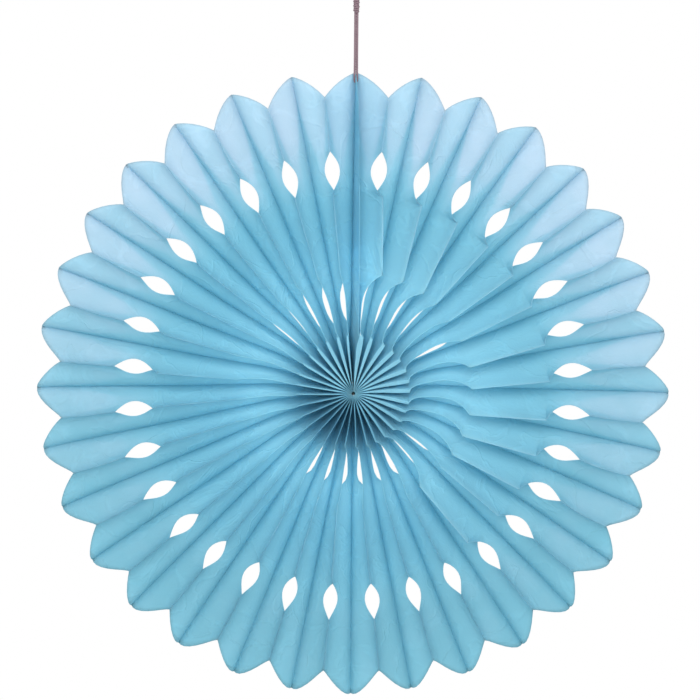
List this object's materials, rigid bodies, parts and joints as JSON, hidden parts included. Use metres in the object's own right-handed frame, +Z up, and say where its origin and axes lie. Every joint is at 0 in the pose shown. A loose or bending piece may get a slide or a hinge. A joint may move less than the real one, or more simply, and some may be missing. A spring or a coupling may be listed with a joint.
{
  "type": "hanging paper fan rosette",
  "caption": "Hanging tissue-paper fan, pleated and opened to a full circle, with scalloped petal tips, rings of lens-shaped cut-outs and a string loop at the top.",
  "frame": {"origin": "on the fan's axis, half way through the paper's depth", "axes": "+Z up towards the string, -Y out of the fan's front, +X to the right as seen from the front"},
  "size_m": [0.4, 0.0276, 0.4682],
  "materials": {
    "tissue_paper": "thin matt light blue tissue with fine wrinkles, a little light shows through",
    "thread": "white twisted cotton thread",
    "string": "dusky mauve-brown twisted string, matt"
  },
  "bodies": {
    "root": {"pleated_paper": "tissue_paper", "gather_thread": "thread", "hanging_string": "string", "string_knot": "string"}
  },
  "joints": []
}
